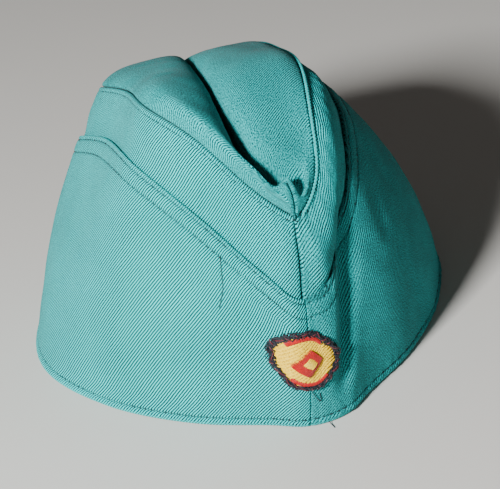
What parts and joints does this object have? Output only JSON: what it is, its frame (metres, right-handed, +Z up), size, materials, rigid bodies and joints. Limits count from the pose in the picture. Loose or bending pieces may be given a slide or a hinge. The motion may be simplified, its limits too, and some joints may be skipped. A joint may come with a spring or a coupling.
{
  "type": "garrison cap",
  "caption": "Soft side cap of twill cloth with a creased crown, a turn-up on each side that dips at the front, and a small embroidered cockade.",
  "frame": {"origin": "middle of the cap's box, on the surface that the hem rests on", "axes": "+X to the wearer's left, +Y to the back of the head, +Z up"},
  "size_m": [0.1792, 0.2054, 0.1309],
  "materials": {
    "side_cloth": "matt wool twill, blue green",
    "turn_up_cloth": "matt wool twill, blue green, doubled",
    "crown_cloth": "matt wool twill, blue green",
    "dark_thread": "overstitched edge of dark blue thread",
    "gold_thread": "satin stitch of gold and red thread"
  },
  "bodies": {
    "root": {"side_right": "side_cloth", "side_left": "side_cloth", "turn_up_right": "turn_up_cloth", "turn_up_left": "turn_up_cloth", "crown_right": "crown_cloth", "crown_left": "crown_cloth", "cockade_edge": "dark_thread", "cockade_field": "gold_thread"}
  },
  "joints": []
}
